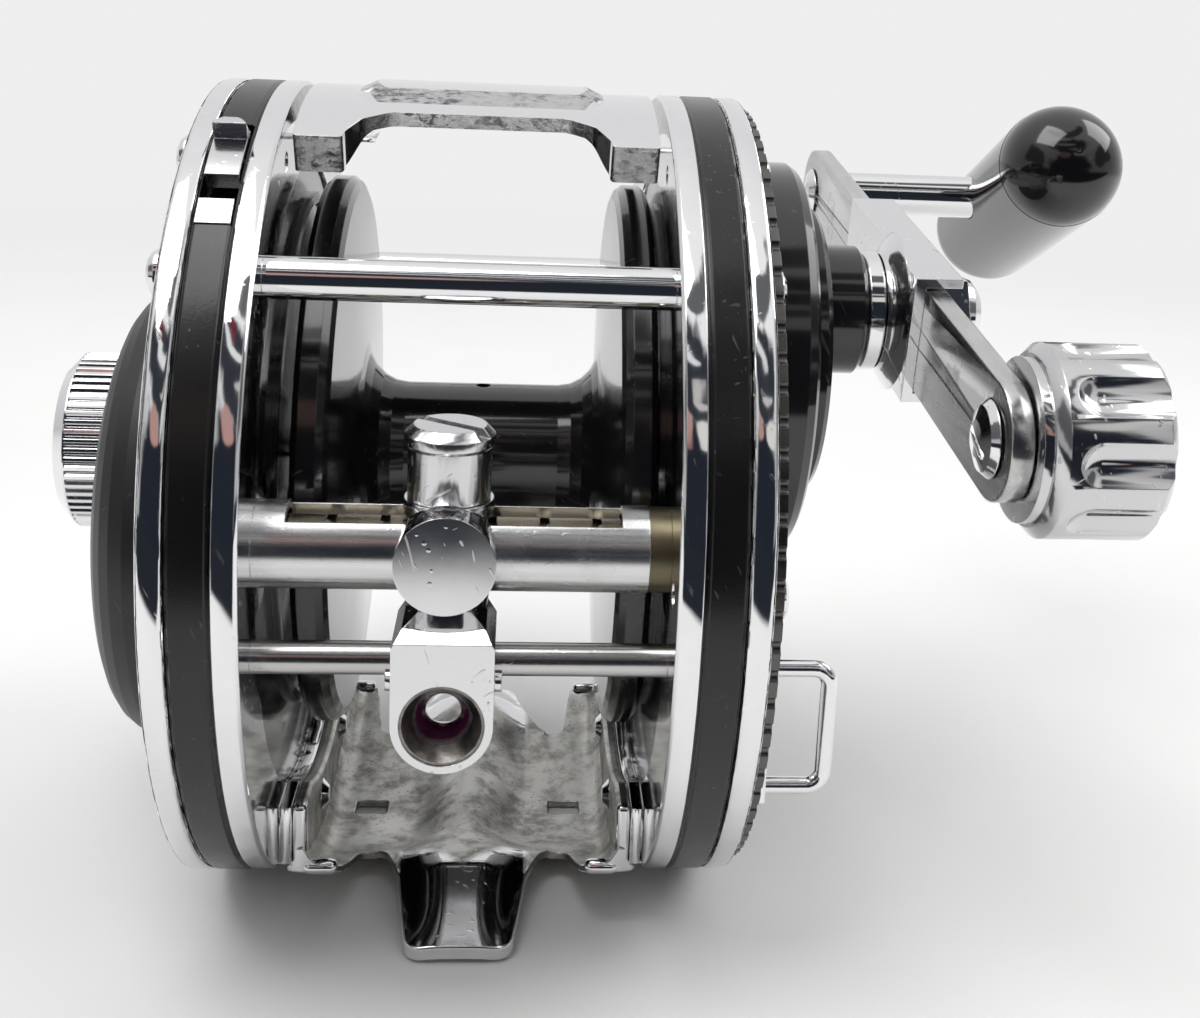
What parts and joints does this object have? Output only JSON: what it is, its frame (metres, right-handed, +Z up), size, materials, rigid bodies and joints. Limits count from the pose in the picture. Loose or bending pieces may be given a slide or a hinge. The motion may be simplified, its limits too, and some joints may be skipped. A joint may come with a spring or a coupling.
{
  "type": "trolling reel",
  "caption": "Level-wind trolling reel with chromed rings, black side plates, wide spool, crank with fluted counterweight and T grip, clutch loop and saddle foot.",
  "frame": {"origin": "middle of the reel foot's seat, on the plane the foot's underside rests on", "axes": "+X points along the spool axis to the crank side, -Y points to the line carriage and the angler's line, +Z points up from the rod"},
  "size_m": [0.1409, 0.1226, 0.0927],
  "materials": {
    "bright_chrome": "polished",
    "satin_steel": "satin",
    "worn_chrome": "worn",
    "black_plate": "gloss",
    "black_cover": "gloss",
    "black_spool": "gloss",
    "black_grip": "gloss",
    "dark_metal": "satin",
    "satin_aluminium": "satin",
    "brass_part": "satin",
    "nylon_part": "matte",
    "drag_fibre": "matte",
    "ring_insert": "gloss"
  },
  "bodies": {
    "frame": {"left_inner_ring": "bright_chrome", "right_inner_ring": "bright_chrome", "left_bearing_plate": "black_plate", "right_bearing_plate": "black_plate", "left_side_plate": "black_plate", "right_side_plate": "black_plate", "left_outer_ring": "bright_chrome", "right_outer_ring": "bright_chrome", "left_cover": "black_cover", "gear_cover": "black_cover", "milled_plate": "dark_metal", "gear_plate": "satin_steel", "top_bridge": "bright_chrome", "front_pillar": "bright_chrome", "rear_pillars": "bright_chrome", "left_plate_screws": "bright_chrome", "right_plate_screws": "bright_chrome", "rim_stop": "bright_chrome", "reel_foot": "worn_chrome", "foot_rivets": "bright_chrome", "guard_tube": "satin_aluminium", "left_worm_bush": "brass_part", "right_worm_bush": "brass_part", "guide_rod": "bright_chrome", "left_spool_bearing": "satin_steel", "right_spool_bearing": "satin_steel", "idler_stud": "satin_steel", "crank_post": "satin_steel", "yoke_posts": "satin_steel", "yoke_springs": "satin_steel"},
    "handle": {"gear_sleeve": "satin_steel", "main_gear": "brass_part", "ratchet": "satin_steel", "drag_plates": "satin_steel", "drag_washers": "drag_fibre", "arm_bracket": "worn_chrome", "handle_arm": "satin_steel", "cap_nut": "bright_chrome", "counterweight": "worn_chrome", "weight_rivet": "bright_chrome", "grip_shaft": "bright_chrome"},
    "spool_unit": {"spool": "black_spool", "spool_shaft": "satin_steel", "click_gear": "brass_part"},
    "pinion_unit": {"pinion": "brass_part"},
    "yoke_unit": {"clutch_yoke": "satin_steel"},
    "idler_unit": {"idler_gear": "nylon_part"},
    "worm_unit": {"worm_shaft": "satin_steel", "worm_gear": "brass_part"},
    "carriage": {"line_carriage": "bright_chrome", "pawl_cap": "bright_chrome", "line_ring": "ring_insert"},
    "pawl_unit": {"pawl": "brass_part"},
    "tension_unit": {"tension_knob": "bright_chrome"},
    "clutch_unit": {"clutch_lever": "bright_chrome"},
    "click_unit": {"rim_slide": "bright_chrome"},
    "dog_unit": {"anti_reverse_dog": "satin_steel"},
    "drag_unit": {"drag_collar": "bright_chrome"},
    "grip_unit": {"grip": "black_grip", "grip_caps": "black_grip"}
  },
  "joints": [
    {"name": "crank_turn", "type": "hinge", "parent": "frame", "child": "handle", "pos_m": [0.035, 0.0005, 0.0671], "axis": [1, 0, 0], "continuous": true},
    {"name": "spool_turn", "type": "hinge", "parent": "frame", "child": "spool_unit", "pos_m": [0, 0.005, 0.0473], "axis": [1, 0, 0], "continuous": true},
    {"name": "yoke_slide", "type": "slide", "parent": "frame", "child": "yoke_unit", "axis": [1, 0, 0], "range_m": [0, 0.0014], "deforming": ["yoke_springs"]},
    {"name": "pinion_turn", "type": "hinge", "parent": "yoke_unit", "child": "pinion_unit", "pos_m": [0.031, 0.005, 0.0473], "axis": [1, 0, 0], "continuous": true},
    {"name": "idler_turn", "type": "hinge", "parent": "frame", "child": "idler_unit", "pos_m": [-0.0245, -0.01387, 0.04629], "axis": [1, 0, 0], "continuous": true},
    {"name": "worm_turn", "type": "hinge", "parent": "frame", "child": "worm_unit", "pos_m": [0, -0.035, 0.049], "axis": [1, 0, 0], "continuous": true},
    {"name": "carriage_slide", "type": "slide", "parent": "frame", "child": "carriage", "axis": [1, 0, 0], "range_m": [-0.011, 0.014]},
    {"name": "pawl_swivel", "type": "hinge", "parent": "carriage", "child": "pawl_unit", "pos_m": [-0.00165, -0.035, 0.055], "axis": [0, 0, 1], "range_deg": [-35, 35]},
    {"name": "tension_turn", "type": "hinge", "parent": "frame", "child": "tension_unit", "pos_m": [-0.044, 0.005, 0.0473], "axis": [1, 0, 0], "range_deg": [-180, 180]},
    {"name": "clutch_swing", "type": "hinge", "parent": "frame", "child": "clutch_unit", "pos_m": [0.031, -0.024, 0.0305], "axis": [1, 0, 0], "range_deg": [0, 20]},
    {"name": "click_move", "type": "hinge", "parent": "frame", "child": "click_unit", "pos_m": [-0.0249, 0, 0.046], "axis": [1, 0, 0], "range_deg": [0, 3.5]},
    {"name": "dog_swing", "type": "hinge", "parent": "frame", "child": "dog_unit", "pos_m": [0.0295, 0.0145, 0.074], "axis": [1, 0, 0], "range_deg": [0, 10.5], "stiffness_Nm_per_rad": 0.001},
    {"name": "drag_turn", "type": "hinge", "parent": "handle", "child": "drag_unit", "pos_m": [0.0465, 0.0005, 0.0671], "axis": [1, 0, 0], "range_deg": [-90, 90]},
    {"name": "grip_turn", "type": "hinge", "parent": "handle", "child": "grip_unit", "pos_m": [0.0823, 0.0508, 0.07551], "axis": [1, 0, 0], "continuous": true}
  ],
  "couplings": [
    {"joint": "spool_turn", "follows": "crank_turn", "ratio": -2.625},
    {"joint": "pinion_turn", "follows": "crank_turn", "ratio": -2.625},
    {"joint": "idler_turn", "follows": "crank_turn", "ratio": 0.89362},
    {"joint": "worm_turn", "follows": "crank_turn", "ratio": -1.75},
    {"joint": "clutch_swing", "follows": "yoke_slide", "rad_per_m": 246.84}
  ]
}
